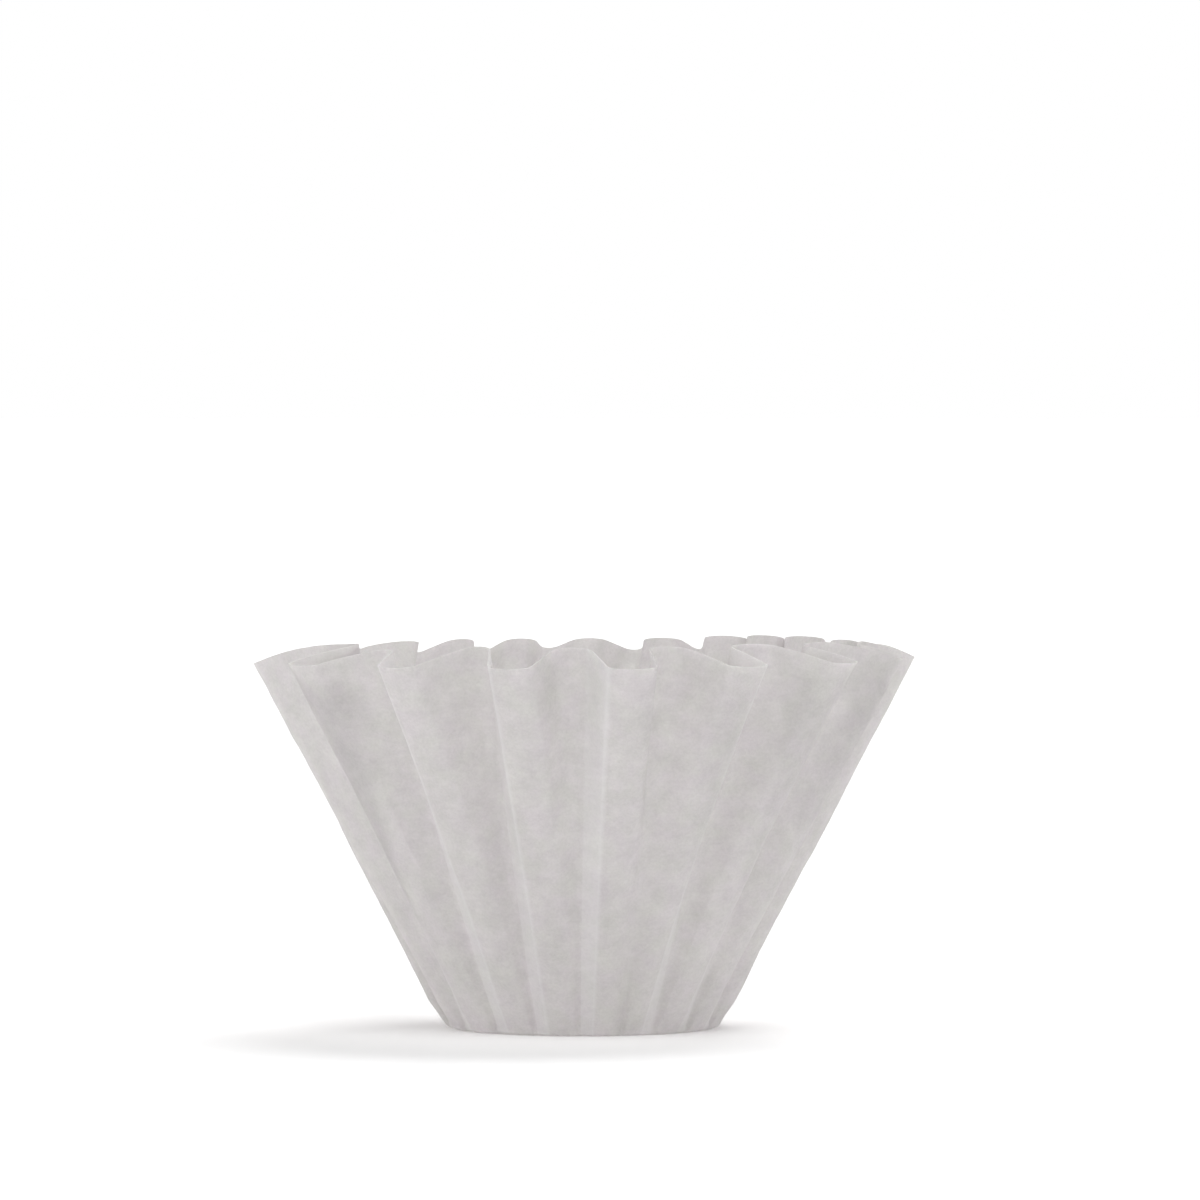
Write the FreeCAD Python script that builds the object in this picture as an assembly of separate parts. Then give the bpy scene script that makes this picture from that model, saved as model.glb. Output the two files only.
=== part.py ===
import FreeCAD, Part
import os
from math import asin, atan2, cos, degrees, exp, radians, sin, sqrt

# Fluted paper coffee filter: one round blank of filter paper, pressed into a flat floor
# and a wall of flutes that opens towards the rim. It is one folded sheet, so one solid.
# Frame: millimetres, +Z up, origin in the middle of the floor's underside, front at -Y.
#
# Two properties of paper give the shape. It doesn't stretch: every ring of the blank stays
# as far from the edge of the floor, along the paper, as it was in the flat sheet, so the
# crests, which lean out more, end lower than the valleys and the rim is wavy. And it bends
# without twisting: each panel between two rings is two flat facets.

SIZES = {
    "blank_radius": 92.5,      # the flat round sheet before pressing
    "base_radius": 22.9,       # edge of the floor
    "rim_radius": 55.1,        # out to where the crests turn at the rim
    "paper_thickness": 0.2,
    "base_bend": 0.7,          # how far the turn from floor to wall reaches up the paper
    "crest_swell": 0.7,        # how far a crest bulges outwards at the rim
    "valley_swell": 0.5,       # how far a valley bulges inwards at the rim
    "fold_reach": 1.3,         # how far a fold's rounding reaches into each panel
}

# Each flute, from the left side past the front to the right and round the back: where its
# crest begins and ends at the rim and how far inside the rim's radius that lies, where the
# valley after it begins and ends and how deep that is, and where the crease between it and
# the next flute starts at the floor. Directions are in degrees from the front, positive to
# the right, and lengths in millimetres. The flutes are opened wide at the front and crowd
# at the back, and those at the sides lean over, so a valley may begin under its crest.
FLUTES = [
    (-91.0, -81.5, 0.3, -52.0, -50.5, 6.9, -54.0),
    (-62.5, -57.0, 0.0, -43.0, -38.5, 5.5, -32.5),
    (-37.8, -30.0, 0.3, -23.0, -18.3, 6.5, -14.5),
    (-16.4, -8.8, 0.5, -5.4, 1.3, 6.0, 4.0),
    (4.3, 13.0, 0.3, 13.2, 20.5, 6.5, 13.0),
    (26.0, 34.0, 0.7, 30.2, 41.0, 6.5, 25.0),
    (48.5, 57.0, 0.9, 48.8, 61.0, 6.1, 44.0),
    (73.0, 77.0, 0.5, 69.0, 75.0, 5.3, 61.0),
    (86.0, 93.0, 0.0, 98.0, 111.0, 2.7, 80.0),
    (116.5, 119.0, 0.5, 112.5, 123.0, 3.9, 99.0),
    (127.5, 129.5, 0.5, 124.0, 135.5, 5.1, 117.5),
    (137.0, 139.0, 0.5, 136.3, 145.2, 5.1, 136.5),
    (145.5, 147.5, 0.5, 146.0, 155.0, 4.4, 155.0),
    (157.5, 159.5, 0.7, 161.0, 168.0, 3.1, 174.0),
    (169.0, 172.5, 0.5, 176.0, 181.5, 3.1, 193.0),
    (184.5, 188.0, 1.1, 189.5, 195.0, 2.5, 212.0),
    (197.0, 200.5, 0.5, 202.0, 207.0, 3.3, 230.5),
    (210.0, 213.0, 0.5, 214.0, 226.5, 3.6, 249.5),
    (231.0, 236.5, 0.7, 240.5, 246.0, 3.2, 268.5),
    (251.0, 256.5, 0.5, 261.0, 265.0, 1.6, 287.0),
]
DEPTH_POWER = 1.3              # the flutes are pressed deeper towards the rim
SHALLOW_FLUTES = (3, 4)        # these two at the front were hardly pressed: their valleys
SHALLOW_POWER = 2.6            # fade on the way down
CREST_START = 0.1              # share of a flute's width at the floor from crease to crest
VALLEY_START = 0.055           # and from the crease to the edge of the valley

# The floor was pressed a little off the middle of the blank: around each of these
# directions the wall is longer by this much, over this spread in degrees.
UNEVEN_CUT = [(88.0, 0.6, 20.0), (246.0, -1.5, 26.0)]

FULL_TURN = 360.0
FRONT = -90.0                  # direction of the front, in degrees about +Z
LOWER_RING = 0.12              # rings where the wall bends, as shares of its length
MIDDLE_RING = 0.45
LONGEST_ROUNDING = 0.25        # a fold takes up at most this share of a panel at each end
CORNERS = 4                    # of a flute in one ring: two of its crest, two of its valley


def add_sheet(doc):
    """The spreadsheet that holds the driving dimensions."""
    sheet = doc.addObject("Spreadsheet::Sheet", "sizes")
    for row, (name, value) in enumerate(SIZES.items(), start=1):
        sheet.set("A%d" % row, name)
        sheet.set("B%d" % row, str(value))
        sheet.setAlias("B%d" % row, name)
    doc.recompute()
    return sheet


def between(share, start, end):
    return start + (end - start) * share


def at_angle(angle, radius):
    direction = radians(FRONT + angle)
    return FreeCAD.Vector(radius * cos(direction), radius * sin(direction), 0)


def crease(number):
    """Where the crease after this flute starts at the floor, also past a full turn."""
    turns, index = divmod(number, len(FLUTES))
    return FLUTES[index][-1] + turns * FULL_TURN


class Wall:
    """The shape of the fluted wall at any distance from the edge of the floor."""

    def __init__(self, sheet):
        self.sheet = sheet
        self.length = sheet.blank_radius - sheet.base_radius
        self.outwards = (sheet.rim_radius - sheet.base_radius) / self.length
        self.inset = sheet.paper_thickness / cos(asin(self.outwards))

    def cut_length(self, point):
        """The length of the wall in the direction of this point."""
        direction = degrees(atan2(point.y, point.x)) - FRONT
        length = self.length
        for middle, longer_by, spread in UNEVEN_CUT:
            away = (direction - middle + FULL_TURN / 2) % FULL_TURN - FULL_TURN / 2
            length += longer_by * exp(-(away / spread) ** 2)
        return length

    def height(self, distance, point):
        """Height of a point that lies this far along the paper, from where it is in plan."""
        up_paper = distance * self.cut_length(point) / self.length
        return sqrt(up_paper ** 2 - (point.Length - self.sheet.base_radius) ** 2)

    def flute_corners(self, number, distance):
        """The crest and the valley of one flute, as four corners seen from above."""
        crest_from, crest_to, drawn_in, valley_from, valley_to, depth, _ = FLUTES[number]
        share = distance / self.length
        before, after, next_after = [crease(number + step) for step in (-1, 0, 1)]
        width = after - before
        next_width = next_after - after
        crest_radius = between(share, self.sheet.base_radius, self.sheet.rim_radius - drawn_in)
        power = SHALLOW_POWER if number in SHALLOW_FLUTES else DEPTH_POWER
        valley_radius = crest_radius - depth * share ** power
        return [
            at_angle(between(share, before + CREST_START * width, crest_from), crest_radius),
            at_angle(between(share, after - CREST_START * width, crest_to), crest_radius),
            at_angle(between(share, after - VALLEY_START * width, valley_from), valley_radius),
            at_angle(between(share, after + VALLEY_START * next_width, valley_to),
                     valley_radius)]

    def outline(self, distance, inset):
        """One ring of the blank, seen from above; the inset is zero for the outer face."""
        corners = []
        for number in range(len(FLUTES)):
            corners += self.flute_corners(number, distance)
        share = distance / self.length
        swells = [self.sheet.crest_swell * share, 0, -self.sheet.valley_swell * share, 0]
        return shaped(moved_inwards(corners, inset), self.sheet.fold_reach, swells)

    def ring(self, distance, inset):
        """The same ring at its height, which goes with the outer face."""
        outer = self.outline(distance, 0)
        return [FreeCAD.Vector(point.x, point.y, self.height(distance, place))
                for point, place in zip(self.outline(distance, inset), outer)]

    def floor_ring(self, inset, rise):
        """The edge of the flat floor, drawn in from the first ring by the turn."""
        bend = self.sheet.base_bend
        crest_radius = self.sheet.base_radius + bend * self.outwards
        drawn_in = (self.sheet.base_radius - bend / 2) / crest_radius
        return [FreeCAD.Vector(point.x * drawn_in, point.y * drawn_in, rise)
                for point in self.outline(bend, inset)]

    def rings(self, inset, rise):
        """The rings of one face of the paper, from the floor to the rim."""
        distances = [self.sheet.base_bend, LOWER_RING * self.length,
                     MIDDLE_RING * self.length, self.length]
        return [self.floor_ring(inset, rise)] + [self.ring(distance, inset)
                                                 for distance in distances]


def moved_inwards(points, gap):
    """The same closed outline at an even distance inside the first one."""
    moved = []
    for index, point in enumerate(points):
        before = (point - points[index - 1]).normalize()
        after = (points[(index + 1) % len(points)] - point).normalize()
        normal_before = FreeCAD.Vector(-before.y, before.x, 0)
        normal_after = FreeCAD.Vector(-after.y, after.x, 0)
        mitre = (normal_before + normal_after) / (1 + normal_before.dot(normal_after))
        moved.append(point + mitre * gap)
    return moved


def shaped(corners, fold_reach, swells):
    """Two narrow facets in place of each corner, and a bulge in the crests and valleys."""
    points = []
    for index, corner in enumerate(corners):
        following = corners[(index + 1) % len(corners)]
        before = corners[index - 1] - corner
        after = following - corner
        reach = min(fold_reach, LONGEST_ROUNDING * min(before.Length, after.Length))
        start = corner + before.normalize() * reach
        end = corner + after.normalize() * reach
        points += [start, ((start + end) / 2 + corner) / 2, end]
        swell = swells[index % CORNERS]
        if swell:
            middle = (corner + following) / 2
            points.append(middle + middle / middle.Length * swell)
    return points


def flat_face(points):
    return Part.Face(Part.makePolygon(points + points[:1]))


def strip(lower, upper):
    """The paper from one ring to the next, two flat facets to a panel."""
    facets = []
    for index in range(len(lower)):
        following = (index + 1) % len(lower)
        start, end = lower[index], lower[following]
        facets.append(flat_face([start, end, upper[following]]))
        facets.append(flat_face([start, upper[following], upper[index]]))
    return facets


def wall_faces(rings):
    facets = []
    for lower, upper in zip(rings, rings[1:]):
        facets += strip(lower, upper)
    return facets


def add_filter_paper(doc, sheet):
    """The sheet: floor, fluted wall and cut edge, on both faces of the paper."""
    wall = Wall(sheet)
    outer = wall.rings(0, 0)
    inner = wall.rings(wall.inset, sheet.paper_thickness)
    faces = wall_faces(outer) + wall_faces(inner) + strip(outer[-1], inner[-1])
    faces += [flat_face(outer[0]), flat_face(inner[0])]
    skin = Part.makeCompound(faces)
    skin.sewShape()
    solid = Part.Solid(Part.Shell(skin.Faces))
    if solid.Volume < 0:
        solid.reverse()
    paper = doc.addObject("Part::Feature", "filter_paper")
    paper.Label = "filter_paper"
    paper.Shape = solid
    paper.Placement = FreeCAD.Placement()
    return paper


def check(doc, parts):
    """Stops at anything that failed, before a file is written."""
    for item in doc.Objects:
        if "Invalid" in item.State or "Error" in item.State:
            raise RuntimeError("%s failed: %s" % (item.Label, item.State))
    for part in parts:
        if part.Shape.isNull() or not part.Shape.isValid():
            raise RuntimeError("%s has no valid shape" % part.Label)
        if len(part.Shape.Solids) != 1:
            raise RuntimeError("%s isn't one solid" % part.Label)


def main():
    doc = FreeCAD.newDocument("coffee_filter")
    sheet = add_sheet(doc)
    parts = [add_filter_paper(doc, sheet)]
    doc.recompute()
    check(doc, parts)
    os.makedirs("parts", exist_ok=True)
    for part in parts:
        part.Shape.exportStep("parts/%s.step" % part.Label)
        print(part.Label, round(part.Shape.Volume), "mm3", part.Shape.BoundBox)


main()
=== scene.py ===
from math import atan2, cos, degrees, exp, pi, radians, sin, sqrt

import bpy
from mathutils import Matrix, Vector, noise

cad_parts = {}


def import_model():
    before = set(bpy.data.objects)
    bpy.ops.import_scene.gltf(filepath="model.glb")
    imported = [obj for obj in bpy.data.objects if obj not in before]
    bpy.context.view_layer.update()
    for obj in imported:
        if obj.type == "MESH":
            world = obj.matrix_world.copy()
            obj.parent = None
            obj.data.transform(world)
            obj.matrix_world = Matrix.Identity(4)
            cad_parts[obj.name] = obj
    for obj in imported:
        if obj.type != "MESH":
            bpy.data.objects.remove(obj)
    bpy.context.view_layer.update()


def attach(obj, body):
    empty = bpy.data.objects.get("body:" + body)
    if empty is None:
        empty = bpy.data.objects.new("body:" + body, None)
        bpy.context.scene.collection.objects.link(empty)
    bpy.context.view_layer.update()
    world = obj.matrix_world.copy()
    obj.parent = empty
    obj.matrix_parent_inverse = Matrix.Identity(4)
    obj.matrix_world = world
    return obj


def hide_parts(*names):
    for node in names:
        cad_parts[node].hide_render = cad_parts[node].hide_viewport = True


# Fluted paper coffee filter: one round sheet of filter paper with a flat floor and a wall of
# flutes. The flat blank is modelled as a round sheet, and then folded by the same two rules
# as the real one: paper bends and doesn't stretch, so each ring of the blank keeps its
# distance from the edge of the floor, measured along the paper.
# Lengths are in millimetres here, and MM turns them into Blender's metres. Directions are in
# degrees from the front (-Y), positive to the right.

MM = 0.001
FULL_TURN = 360.0

# The sheet.
BLANK_RADIUS = 92.5
BASE_RADIUS = 22.9
RIM_RADIUS = 55.1
PAPER_THICKNESS = 0.2
WALL_LENGTH = BLANK_RADIUS - BASE_RADIUS
BASE_BEND = 0.8                  # the turn from floor to wall reaches this far along the paper
# The floor was pressed a little off the middle of the blank and the cut isn't quite round:
# around each of these directions the wall is longer by this much, over this spread.
UNEVEN_CUT = [(88.0, 0.6, 20.0), (246.0, -1.5, 26.0)]

# Each flute, from the left side past the front to the right and round the back: where its
# crest begins and ends at the rim and how far inside the rim's radius that lies, where the
# valley after it begins and ends and how deep that is, and where the crease between it and
# the next flute starts at the floor.
FLUTES = [
    (-91.0, -81.5, 0.3, -52.0, -50.5, 6.9, -54.0),
    (-62.5, -52.5, 0.0, -43.0, -38.5, 5.0, -32.5),
    (-37.8, -30.0, 0.3, -23.0, -18.3, 6.5, -14.5),
    (-16.4, -8.8, 0.5, -5.4, 1.3, 6.0, 4.0),
    (4.3, 13.0, 0.3, 13.2, 20.5, 6.5, 13.0),
    (26.0, 34.0, 0.7, 30.2, 41.0, 6.5, 25.0),
    (48.5, 57.0, 0.9, 48.8, 61.0, 6.1, 44.0),
    (73.0, 77.0, 0.5, 69.0, 75.0, 5.3, 61.0),
    (86.0, 93.0, 0.0, 98.0, 111.0, 2.7, 80.0),
    (116.5, 119.0, 0.5, 112.5, 123.0, 3.9, 99.0),
    (127.5, 129.5, 0.5, 124.0, 135.5, 5.1, 117.5),
    (137.0, 139.0, 0.5, 136.3, 145.2, 5.1, 136.5),
    (145.5, 147.5, 0.5, 146.0, 155.0, 4.4, 155.0),
    (157.5, 159.5, 0.7, 161.0, 168.0, 3.1, 174.0),
    (169.0, 172.5, 0.5, 176.0, 181.5, 3.1, 193.0),
    (184.5, 188.0, 1.1, 189.5, 195.0, 2.5, 212.0),
    (197.0, 200.5, 0.5, 202.0, 207.0, 3.3, 230.5),
    (210.0, 213.0, 0.5, 214.0, 226.5, 3.6, 249.5),
    (231.0, 236.5, 0.7, 240.5, 246.0, 3.2, 268.5),
    (251.0, 256.5, 0.5, 261.0, 265.0, 1.6, 287.0),
]
DEPTH_POWER = 1.8                # the flutes are pressed deeper towards the rim
SHALLOW_FLUTES = (3, 4)          # these two at the front were hardly pressed: their valleys
SHALLOW_POWER = 3.2              # fade on the way down
CREST_START = 0.1                # share of a flute's width at the floor from crease to crest
VALLEY_START = 0.055             # and from the crease to the edge of the valley
LAPPED_LEFT = (19, 0, 1, 2, 3)   # after these flutes the crease is lapped towards the left
LAPPED_RIGHT = (4, 5, 6, 7)      # and after these towards the right,
LAP = 0.26                       # over this share of a flute's width
LAP_EDGE = 0.04                  # the paper turns back within this share

# How finely the sheet is divided.
PLACES = [0.0, 0.11, 0.24, 0.4, 0.6, 0.76, 0.89]   # columns along each panel of a flute
PANELS = 4                                          # crest, side, valley, side
CREST, VALLEY = 0, 2
COLUMNS = len(FLUTES) * PANELS * len(PLACES)
FLOOR_RINGS = [6.0, 14.0, 20.0]                     # radii of rings inside the flat floor
BEND_RINGS = 3                                      # to each side of the floor's edge
WALL_RINGS = 72
WALL_CROWDING = 1.1                                 # the rings lie closer near the floor
SMOOTH_UP_TO = 55.0                                 # degrees between two shaded faces

# Folds and unevenness of the paper.
FOLD_AT_RIM = 0.65               # half the length of paper that a fold takes up, at the rim
FOLD_AT_FLOOR = 0.22
FOLD_SAMPLES = 9
PILLOW = 0.6                     # how far the crests swell between creases near the floor
PILLOW_GROWTH = 14.0             # that swell is full a fourteenth of the way up the wall
CREST_SWELL = 0.7                # and how far at the rim
VALLEY_SWELL = 0.5               # how far the valleys swell inwards at the rim
BASE_CREASE = 0.65               # how deep the creases are pressed in beside the floor,
BASE_CREASE_FROM = 1.5           # how far up they reach that depth
BASE_CREASE_REACH = 45.0         # and how far up they fade
COCKLE = 0.18                    # slow unevenness of a damp-pressed sheet
COCKLE_SIZE = 14.0
CRIMP = 0.07                     # small puckers
CRIMP_SIZE = 3.2
CALM_BELOW = 6.0                 # the floor's edge holds the paper even below this
PAINTED_EDGE_HIGHLIGHT = 0.36                 # painted highlight: how far a lapped edge is lifted towards white
PAINTED_SIDE_HIGHLIGHT = 0.22                 # and the side next to it, also painted highlight
TRANSLUCENCE = 0.5               # share of the light that the paper passes on

# The studio. Light is a share of full white.
FLOOR_SIZE = 60.0                # metres, so that its far edge is the horizon
FLOOR_GAP = 0.05                 # the floor lies this far under the paper
FLOOR_WHITE = 1.28               # how white the camera sees the floor
FRONT_LIGHT = 0.15               # low soft light from the front
SIDE_LIGHT = 1.7                 # and from the sides and the back
SIDE_SPAN = (-0.95, -0.3)        # the first turns into the second over these front-to-backs
CEILING_LIGHT = 0.22
CEILING_SPAN = (0.15, 0.6)       # and both turn into the ceiling over these heights
KEY_LIGHT = 0.34                 # light of the soft overhead lamp on the floor
KEY_TURNS = (27.0, 12.0)         # degrees from straight overhead: to the back, to the right
KEY_SOFTNESS = 34.0
FILL_LIGHT = 0.21                # and of the soft lamp above the camera
FILL_TURNS = (-30.0, 0.0)
FILL_SOFTNESS = 30.0

# The camera, where the photographer's was.
CAMERA_PLACE = Vector((2.85, -1480.0, 107.0))
CAMERA_DIP = 1.37                # degrees below the horizon
CAMERA_LENS = 264.8
SENSOR_WIDTH = 36.0


def between(share, start, end):
    return start + (end - start) * share


def at_angle(angle, radius):
    """A point in plan, its direction counted from the front."""
    direction = radians(angle - 90.0)
    return Vector((radius * cos(direction), radius * sin(direction)))


def angle_of(plan):
    """The direction of a point, counted from the front."""
    return degrees(atan2(plan.x, -plan.y))


def crease(number):
    """Where the crease after this flute starts at the floor, also past a full turn."""
    turns, index = divmod(number, len(FLUTES))
    return FLUTES[index][-1] + turns * FULL_TURN


def floor_corners(number):
    """Directions at the floor of one flute's four corners. In front its creases are lapped
    like tiles, away from the middle: a flute's outer side slopes gently to the next edge."""
    before, after, next_after = [crease(number + step) for step in (-1, 0, 1)]
    width, next_width = after - before, next_after - after
    corners = [before + CREST_START * width, after - CREST_START * width,
               after - VALLEY_START * width, after + VALLEY_START * next_width]
    if number - 1 in LAPPED_LEFT:
        corners[0] = before
    if number - 1 in LAPPED_RIGHT:
        corners[0] = before + (LAP + CREST_START) * width
    if number in LAPPED_LEFT:
        corners[1:] = [after - (LAP + CREST_START) * width, after - (LAP + LAP_EDGE) * width,
                       after - LAP * width]
    if number in LAPPED_RIGHT:
        corners[1:] = [after, after + LAP * next_width, after + (LAP + LAP_EDGE) * next_width]
    return corners


def panel_corners(distance):
    """The four corners of every flute in one ring of the sheet, in plan."""
    share = distance / WALL_LENGTH
    pressed = BASE_CREASE * min(1.0, distance / BASE_CREASE_FROM)
    pressed *= exp(-distance / BASE_CREASE_REACH)
    corners = []
    for number, flute in enumerate(FLUTES):
        crest_from, crest_to, drawn_in, valley_from, valley_to, depth, _ = flute
        power = SHALLOW_POWER if number in SHALLOW_FLUTES else DEPTH_POWER
        crest_radius = between(share, BASE_RADIUS, RIM_RADIUS - drawn_in)
        valley_radius = crest_radius - depth * share ** power - pressed
        rim_corners = [crest_from, crest_to, valley_from, valley_to]
        radii = [crest_radius, crest_radius, valley_radius, valley_radius]
        for start, end, radius in zip(floor_corners(number), rim_corners, radii):
            corners.append(at_angle(between(share, start, end), radius))
    return corners


def wall_length(plan):
    """The length of the wall in the direction of this point."""
    length = WALL_LENGTH
    for middle, longer_by, spread in UNEVEN_CUT:
        away = (angle_of(plan) - middle + FULL_TURN / 2) % FULL_TURN - FULL_TURN / 2
        length += longer_by * exp(-(away / spread) ** 2)
    return length


class Ring:
    """One ring of the folded sheet in plan, with its folds rounded."""

    def __init__(self, distance):
        share = distance / WALL_LENGTH
        self.corners = panel_corners(distance)
        self.starts = [0.0]
        for index, corner in enumerate(self.corners):
            following = self.corners[(index + 1) % len(self.corners)]
            self.starts.append(self.starts[-1] + (following - corner).length)
        self.around = self.starts[-1]
        self.fold = between(share, FOLD_AT_FLOOR, FOLD_AT_RIM)
        grown = min(1.0, PILLOW_GROWTH * share)
        self.swell = {CREST: between(share, PILLOW, CREST_SWELL) * grown,
                      VALLEY: -VALLEY_SWELL * share}

    def on_panel(self, panel, place):
        """A point on a panel before its folds are rounded; crests swell outwards."""
        start = self.corners[panel]
        end = self.corners[(panel + 1) % len(self.corners)]
        point = start.lerp(end, place)
        swell = self.swell.get(panel % PANELS, 0.0) * 4 * place * (1 - place)
        return point + point.normalized() * swell

    def along(self, length, panel):
        """The point this far along the ring; the search starts at the given panel."""
        length %= self.around
        while length < self.starts[panel]:
            panel -= 1
        while length >= self.starts[panel + 1]:
            panel += 1
        span = self.starts[panel + 1] - self.starts[panel]
        return self.on_panel(panel, (length - self.starts[panel]) / span)

    def point(self, panel, place):
        """The middle of the paper within half a fold to each side."""
        middle = between(place, self.starts[panel], self.starts[panel + 1])
        total = Vector((0.0, 0.0))
        for sample in range(FOLD_SAMPLES):
            offset = self.fold * (2.0 * sample / (FOLD_SAMPLES - 1) - 1.0)
            total += self.along(middle + offset, panel)
        return total / FOLD_SAMPLES


def unevenness(plan, distance):
    """How far cockling and small puckers push the paper outwards."""
    place = Vector((plan.x, plan.y, distance))
    shift = COCKLE * noise.noise(place / COCKLE_SIZE)
    shift += CRIMP * noise.noise(place / CRIMP_SIZE)
    return shift * min(1.0, distance / CALM_BELOW)


def raised(plan, distance):
    """The point of the wall over this place, as high as its length of paper allows."""
    up_paper = distance * wall_length(plan) / WALL_LENGTH
    outwards = plan.length - BASE_RADIUS
    height = sqrt(max(0.0, up_paper ** 2 - outwards ** 2))
    return Vector((plan.x, plan.y, height))


def folded_ring(distance):
    """The folded places of one ring of the wall, one for each column."""
    ring = Ring(distance)
    places = []
    for panel in range(len(ring.corners)):
        for place in PLACES:
            plan = ring.point(panel, place)
            plan = plan + plan.normalized() * unevenness(plan, distance)
            places.append(raised(plan, distance))
    return places


def ring_radii():
    """Radii, on the flat blank, of all the rings of the sheet from the middle outwards."""
    bend = [BASE_RADIUS + BASE_BEND * step / BEND_RINGS
            for step in range(-BEND_RINGS, BEND_RINGS + 1)]
    shares = [(step / WALL_RINGS) ** WALL_CROWDING for step in range(1, WALL_RINGS + 1)]
    wall = [BASE_RADIUS + BASE_BEND + (WALL_LENGTH - BASE_BEND) * share for share in shares]
    return FLOOR_RINGS + bend + wall


def folded_rings(radii):
    """The folded places of every ring of the blank. The floor and its turned edge take the
    outline of the wall's first ring, drawn in."""
    edge = folded_ring(BASE_BEND)
    middle_of_crest = len(PLACES) // 2
    crest_radius = edge[middle_of_crest].xy.length
    rings = []
    for radius in radii:
        distance = radius - BASE_RADIUS
        if distance > BASE_BEND + 1e-6:
            rings.append(folded_ring(distance))
            continue
        turned = max(0.0, (distance + BASE_BEND) / (2 * BASE_BEND)) ** 2
        grown = (radius - (BASE_RADIUS + BASE_BEND - crest_radius) * turned) / crest_radius
        rings.append([Vector((point.x * grown, point.y * grown, point.z * turned))
                      for point in edge])
    return rings


def painted_fold_highlights():
    """How much painted highlight each column gets, from 0 to 1, standing in for side light on
    the
    folds: most at the edge of a lap, less on the side next to it."""
    highlight_by_column = [0.0] * COLUMNS
    panel = len(PLACES)
    for flute in LAPPED_LEFT:
        edge = (flute + 1) * PANELS * panel
        for column in range(edge - panel, edge):
            highlight_by_column[column % COLUMNS] = PAINTED_SIDE_HIGHLIGHT
        highlight_by_column[edge % COLUMNS] = PAINTED_EDGE_HIGHLIGHT
    for flute in LAPPED_RIGHT[1:]:
        edge = (flute * PANELS + 1) * panel
        for column in range(edge, edge + panel):
            highlight_by_column[column % COLUMNS] = PAINTED_SIDE_HIGHLIGHT
        highlight_by_column[edge % COLUMNS] = PAINTED_EDGE_HIGHLIGHT
    return highlight_by_column


def deselect_all():
    if bpy.context.object and bpy.context.object.mode != "OBJECT":
        bpy.ops.object.mode_set(mode="OBJECT")
    bpy.ops.object.select_all(action="DESELECT")


def add_flat_blank(radii):
    """The round blank before folding: a small disc, extruded ring by ring."""
    deselect_all()
    bpy.ops.mesh.primitive_circle_add(vertices=COLUMNS, radius=radii[0] * MM,
                                      fill_type="TRIFAN")
    blank = bpy.context.object
    blank.name = "filter_paper_sheet"
    bpy.ops.object.mode_set(mode="EDIT")
    bpy.ops.mesh.select_mode(type="EDGE")
    bpy.ops.mesh.select_all(action="DESELECT")
    bpy.ops.mesh.select_non_manifold()
    for inner, outer in zip(radii, radii[1:]):
        bpy.ops.mesh.extrude_region_move()
        growth = outer / inner
        bpy.ops.transform.resize(value=(growth, growth, 1.0), center_override=(0, 0, 0))
    bpy.ops.object.mode_set(mode="OBJECT")
    return blank


def fold(blank, radii):
    """Moves each vertex of the flat blank to its folded place, and marks the painted highlight
    on the lapped folds.
    """
    rings = folded_rings(radii)
    highlight_by_column = painted_fold_highlights()
    highlight_by_vertex = [0.0] * len(blank.data.vertices)
    for vertex in blank.data.vertices:
        radius = vertex.co.length / MM
        if radius < radii[0] / 2:
            continue
        ring = min(range(len(radii)), key=lambda index: abs(radii[index] - radius))
        column = round(angle_of(vertex.co) / FULL_TURN * COLUMNS) % COLUMNS
        vertex.co = rings[ring][column] * MM
        # painted highlight on the lapped folds, kept off the floor
        highlight_by_vertex[vertex.index] = highlight_by_column[column] * (radius > BASE_RADIUS)
    attribute = blank.data.attributes.new("painted_highlight", "FLOAT", "POINT")
    attribute.data.foreach_set("value", highlight_by_vertex)


def face_outwards(sheet):
    """Turns the faces so that those of the floor look down."""
    bpy.ops.object.mode_set(mode="EDIT")
    bpy.ops.mesh.select_all(action="SELECT")
    bpy.ops.mesh.normals_make_consistent(inside=False)
    bpy.ops.object.mode_set(mode="OBJECT")
    floor_faces = [face for face in sheet.data.polygons
                   if face.center.xy.length < FLOOR_RINGS[-1] * MM]
    if sum(face.normal.z * face.area for face in floor_faces) > 0:
        bpy.ops.object.mode_set(mode="EDIT")
        bpy.ops.mesh.flip_normals()
        bpy.ops.object.mode_set(mode="OBJECT")


def add_filter_paper():
    """The folded sheet with its thickness."""
    radii = ring_radii()
    paper = add_flat_blank(radii)
    fold(paper, radii)
    face_outwards(paper)
    thickness = paper.modifiers.new("thickness", "SOLIDIFY")
    thickness.thickness = PAPER_THICKNESS * MM
    thickness.offset = -1.0
    thickness.use_even_offset = False
    bpy.ops.object.modifier_apply(modifier=thickness.name)
    bpy.ops.object.shade_smooth_by_angle(angle=radians(SMOOTH_UP_TO))
    return paper


def linear(hex_colour):
    """A written sRGB colour as the linear values that Blender's sockets take."""
    channels = []
    for start in (1, 3, 5):
        value = int(hex_colour[start:start + 2], 16) / 255.0
        channels.append(value / 12.92 if value <= 0.04045 else ((value + 0.055) / 1.055) ** 2.4)
    return (*channels, 1.0)


def add_node(tree, kind, settings=None, inputs=None, links=None):
    """One node: its settings, the values of its sockets and what feeds them."""
    node = tree.nodes.new(kind)
    for name, value in (settings or {}).items():
        setattr(node, name, value)
    for name, value in (inputs or {}).items():
        node.inputs[name].default_value = value
    for name, source in (links or {}).items():
        tree.links.new(source, node.inputs[name])
    return node


def empty_material(name):
    material = bpy.data.materials.new(name)
    material.use_nodes = True
    material.node_tree.nodes.clear()
    return material


def per_metre(millimetres):
    """The scale at which a pattern repeats about once in this length."""
    return 1.0 / (millimetres * MM)


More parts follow.
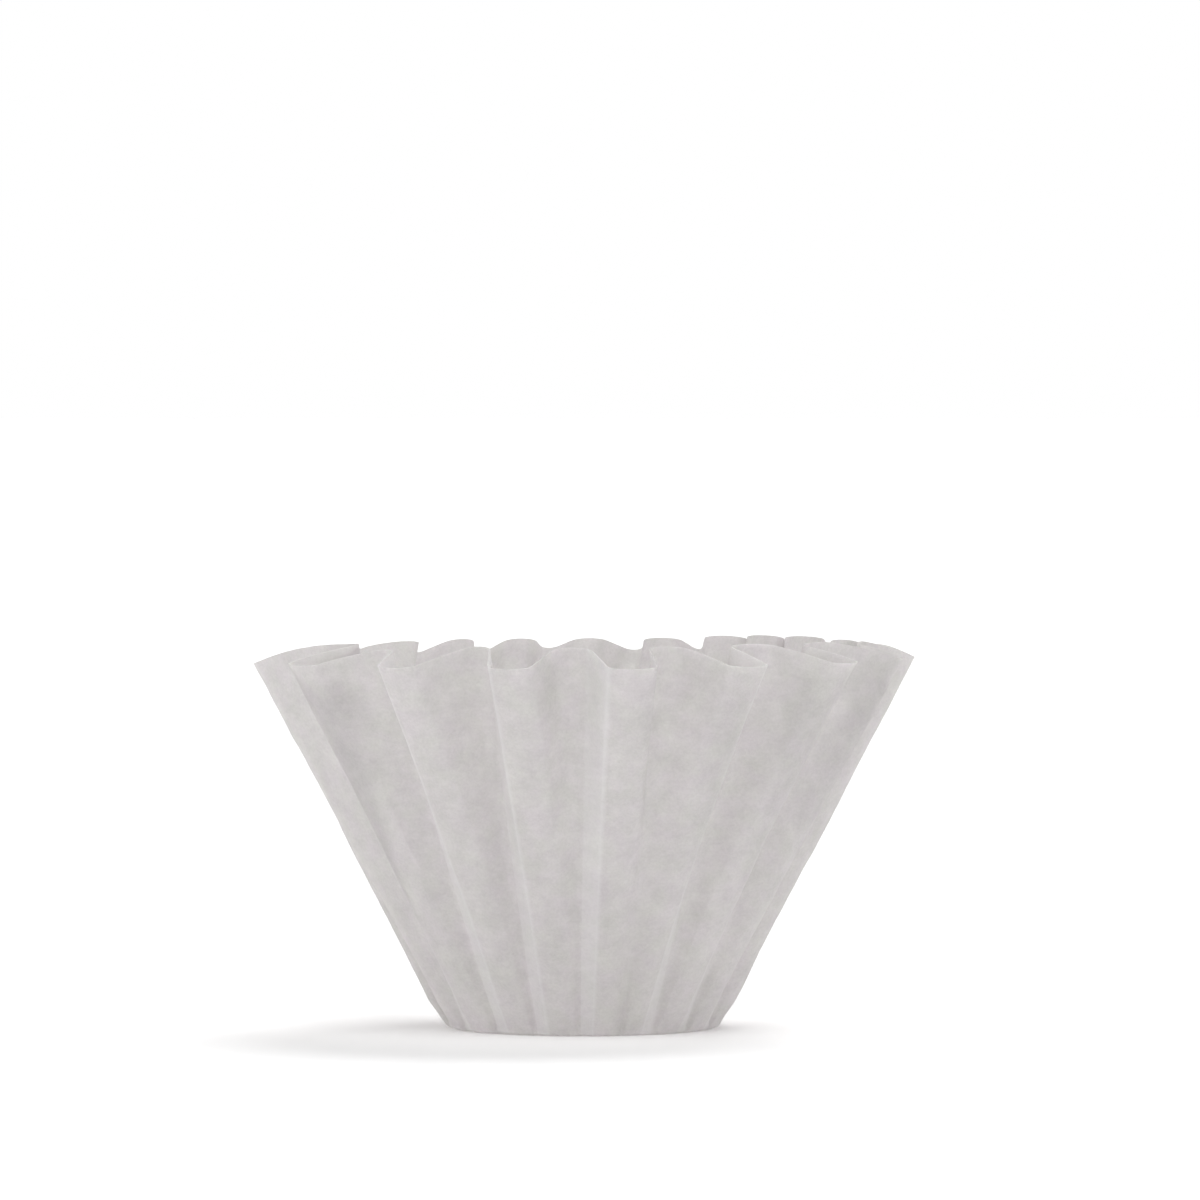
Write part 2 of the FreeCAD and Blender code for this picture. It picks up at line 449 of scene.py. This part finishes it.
def wet_laid_filter_paper():
    """White wet-laid cellulose paper: matt, mottled where its fibres gathered, with a fine
    grain and a faint crepe that runs round it, with painted highlight whitening the lapped
    folds where side light catches them, and thin enough that light shines through."""
    material = empty_material("wet_laid_filter_paper")
    tree = material.node_tree
    place = add_node(tree, "ShaderNodeTexCoord").outputs["Object"]
    flattened = add_node(tree, "ShaderNodeMapping", inputs={"Scale": (0.5, 0.5, 1.0)},
                         links={"Vector": place}).outputs[0]

    def pattern(size, detail, vector=place):
        return add_node(tree, "ShaderNodeTexNoise",
                        inputs={"Scale": per_metre(size), "Detail": detail, "Roughness": 0.62},
                        links={"Vector": vector}).outputs["Fac"]

    def mixed(factor, first, second):
        return add_node(tree, "ShaderNodeMix", {"data_type": "FLOAT"}, {"Factor": factor},
                        {"A": first, "B": second}).outputs["Result"]

    def ramp(source, stops):
        node = add_node(tree, "ShaderNodeValToRGB", links={"Fac": source})
        for element, (position, colour) in zip(node.color_ramp.elements, stops):
            element.position = position
            element.color = linear(colour)
        return node.outputs["Color"]

    cloud = pattern(size=3.2, detail=5.0)
    grain = pattern(size=0.45, detail=3.0)
    crepe = pattern(size=0.8, detail=3.0, vector=flattened)
    tint = ramp(pattern(size=4.5, detail=3.0), [(0.35, "#F4F1F2"), (0.65, "#F3F2F0")])
    depth = ramp(mixed(0.6, cloud, mixed(0.35, grain, crepe)),
                 [(0.36, "#F0F0F0"), (0.64, "#FFFFFF")])
    # The colour sockets of a mix node are taken by number: 0 factor, 6 first, 7 second.
    sheet_colour = add_node(tree, "ShaderNodeMix",
                            {"data_type": "RGBA", "blend_type": "MULTIPLY"},
                            {0: 1.0}, {6: tint, 7: depth}).outputs[2]
    # painted highlight: the colour is mixed towards white along the lapped folds, standing in
    # for side light
    painted_highlight = add_node(tree, "ShaderNodeAttribute", {"attribute_name": "painted_highlight"}).outputs["Fac"]
    colour = add_node(tree, "ShaderNodeMix", {"data_type": "RGBA"}, {7: linear("#FFFFFF")},
                      {0: painted_highlight, 6: sheet_colour}).outputs[2]
    relief = add_node(tree, "ShaderNodeBump", inputs={"Strength": 0.5, "Distance": 0.15 * MM},
                      links={"Height": mixed(0.4, grain, crepe)}).outputs["Normal"]
    face = add_node(tree, "ShaderNodeBsdfPrincipled",
                    inputs={"Roughness": 0.85, "IOR": 1.45, "Specular IOR Level": 0.2},
                    links={"Base Color": colour, "Normal": relief})
    through = add_node(tree, "ShaderNodeBsdfTranslucent",
                       links={"Color": colour, "Normal": relief})
    sheet = add_node(tree, "ShaderNodeMixShader", inputs={"Fac": TRANSLUCENCE},
                     links={1: face.outputs[0], 2: through.outputs[0]})
    add_node(tree, "ShaderNodeOutputMaterial", links={"Surface": sheet.outputs[0]})
    return material


def seen_directly(tree):
    """1 where the camera, a reflection or a clear piece looks straight at the surface."""
    path = add_node(tree, "ShaderNodeLightPath").outputs
    either = add_node(tree, "ShaderNodeMath", {"operation": "MAXIMUM"},
                      links={0: path["Is Camera Ray"], 1: path["Is Glossy Ray"]}).outputs[0]
    return add_node(tree, "ShaderNodeMath", {"operation": "MAXIMUM"},
                    links={0: either, 1: path["Is Transmission Ray"]}).outputs[0]


def white_studio_sweep():
    """Smooth white card: seen directly it is white where nothing shades it; for the light
    that it sends on to the paper it is a plain pale grey."""
    material = empty_material("white_studio_sweep")
    tree = material.node_tree
    seen = seen_directly(tree)
    card = add_node(tree, "ShaderNodeBsdfDiffuse", inputs={"Color": linear("#F2F2F2")})
    bright = add_node(tree, "ShaderNodeBsdfDiffuse", inputs={"Color": (*[FLOOR_WHITE] * 3, 1)})
    mixed = add_node(tree, "ShaderNodeMixShader",
                     links={"Fac": seen, 1: card.outputs[0], 2: bright.outputs[0]})
    add_node(tree, "ShaderNodeOutputMaterial", links={"Surface": mixed.outputs[0]})
    return material


def add_floor():
    deselect_all()
    bpy.ops.mesh.primitive_plane_add(size=FLOOR_SIZE, location=(0, 0, -FLOOR_GAP * MM))
    floor = bpy.context.object
    floor.name = "studio_floor"
    floor.data.materials.append(white_studio_sweep())


def add_world():
    """A white room, brightest low down at the sides and the back."""
    world = bpy.data.worlds.new("white_studio")
    bpy.context.scene.world = world
    world.use_nodes = True
    tree = world.node_tree
    tree.nodes.clear()
    direction = add_node(tree, "ShaderNodeTexCoord").outputs["Generated"]
    parts = add_node(tree, "ShaderNodeSeparateXYZ", links={"Vector": direction}).outputs
    smooth = {"interpolation_type": "SMOOTHSTEP"}
    horizon = add_node(tree, "ShaderNodeMapRange", smooth,
                       {"From Min": SIDE_SPAN[0], "From Max": SIDE_SPAN[1],
                        "To Min": FRONT_LIGHT, "To Max": SIDE_LIGHT},
                       {"Value": parts["Y"]}).outputs["Result"]
    height = add_node(tree, "ShaderNodeMapRange", smooth,
                      {"From Min": CEILING_SPAN[0], "From Max": CEILING_SPAN[1]},
                      {"Value": parts["Z"]}).outputs["Result"]
    around = add_node(tree, "ShaderNodeMix", {"data_type": "FLOAT"}, {"B": CEILING_LIGHT},
                      {"Factor": height, "A": horizon}).outputs["Result"]
    strength = add_node(tree, "ShaderNodeMix", {"data_type": "FLOAT"}, {"B": 1.0},
                        {"Factor": seen_directly(tree), "A": around}).outputs["Result"]
    light = add_node(tree, "ShaderNodeBackground", inputs={"Color": linear("#FFFFFF")},
                     links={"Strength": strength})
    add_node(tree, "ShaderNodeOutputWorld", links={"Surface": light.outputs[0]})


def add_soft_lamp(name, light, turns, softness):
    """A soft lamp far away; its light on the floor is given as a share of full white."""
    deselect_all()
    back, right = [radians(turn) for turn in turns]
    bpy.ops.object.light_add(type="SUN", rotation=(-back, right, 0))
    lamp = bpy.context.object
    lamp.name = name
    lamp.data.angle = radians(softness)
    lamp.data.energy = light * pi / (cos(back) * cos(right))


def add_camera():
    deselect_all()
    bpy.ops.object.camera_add(location=CAMERA_PLACE * MM,
                              rotation=(radians(90 - CAMERA_DIP), 0, 0))
    camera = bpy.context.object
    camera.data.sensor_width = SENSOR_WIDTH
    camera.data.lens = CAMERA_LENS
    bpy.context.scene.camera = camera


def main():
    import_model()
    deselect_all()
    paper = add_filter_paper()
    paper.data.materials.append(wet_laid_filter_paper())
    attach(paper, "root")
    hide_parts("filter_paper")
    add_floor()
    add_world()
    add_soft_lamp("overhead_softbox", KEY_LIGHT, KEY_TURNS, KEY_SOFTNESS)
    add_soft_lamp("front_fill", FILL_LIGHT, FILL_TURNS, FILL_SOFTNESS)
    add_camera()
    bpy.context.scene.view_settings.view_transform = "Standard"
    deselect_all()


main()
